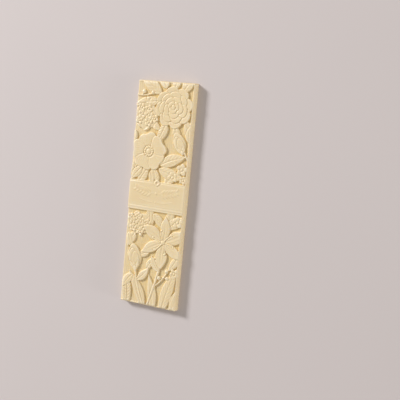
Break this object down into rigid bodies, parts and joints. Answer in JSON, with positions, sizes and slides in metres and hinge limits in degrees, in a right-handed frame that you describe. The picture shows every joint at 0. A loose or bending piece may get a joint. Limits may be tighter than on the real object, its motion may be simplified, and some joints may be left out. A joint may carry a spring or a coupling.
{
  "type": "chocolate bar",
  "caption": "Slim rectangular bar of white chocolate with flowers and leaves in low relief above and below a plain band.",
  "frame": {"origin": "centre of the flat back, which the bar rests on", "axes": "+Z from the back up through the relief, +Y along the bar to its upper end, +X to the right of the relief seen upright"},
  "size_m": [0.051, 0.18, 0.0068],
  "materials": {
    "white_chocolate": "white chocolate, satin"
  },
  "bodies": {
    "root": {"chocolate_bar": "white_chocolate"}
  },
  "joints": []
}
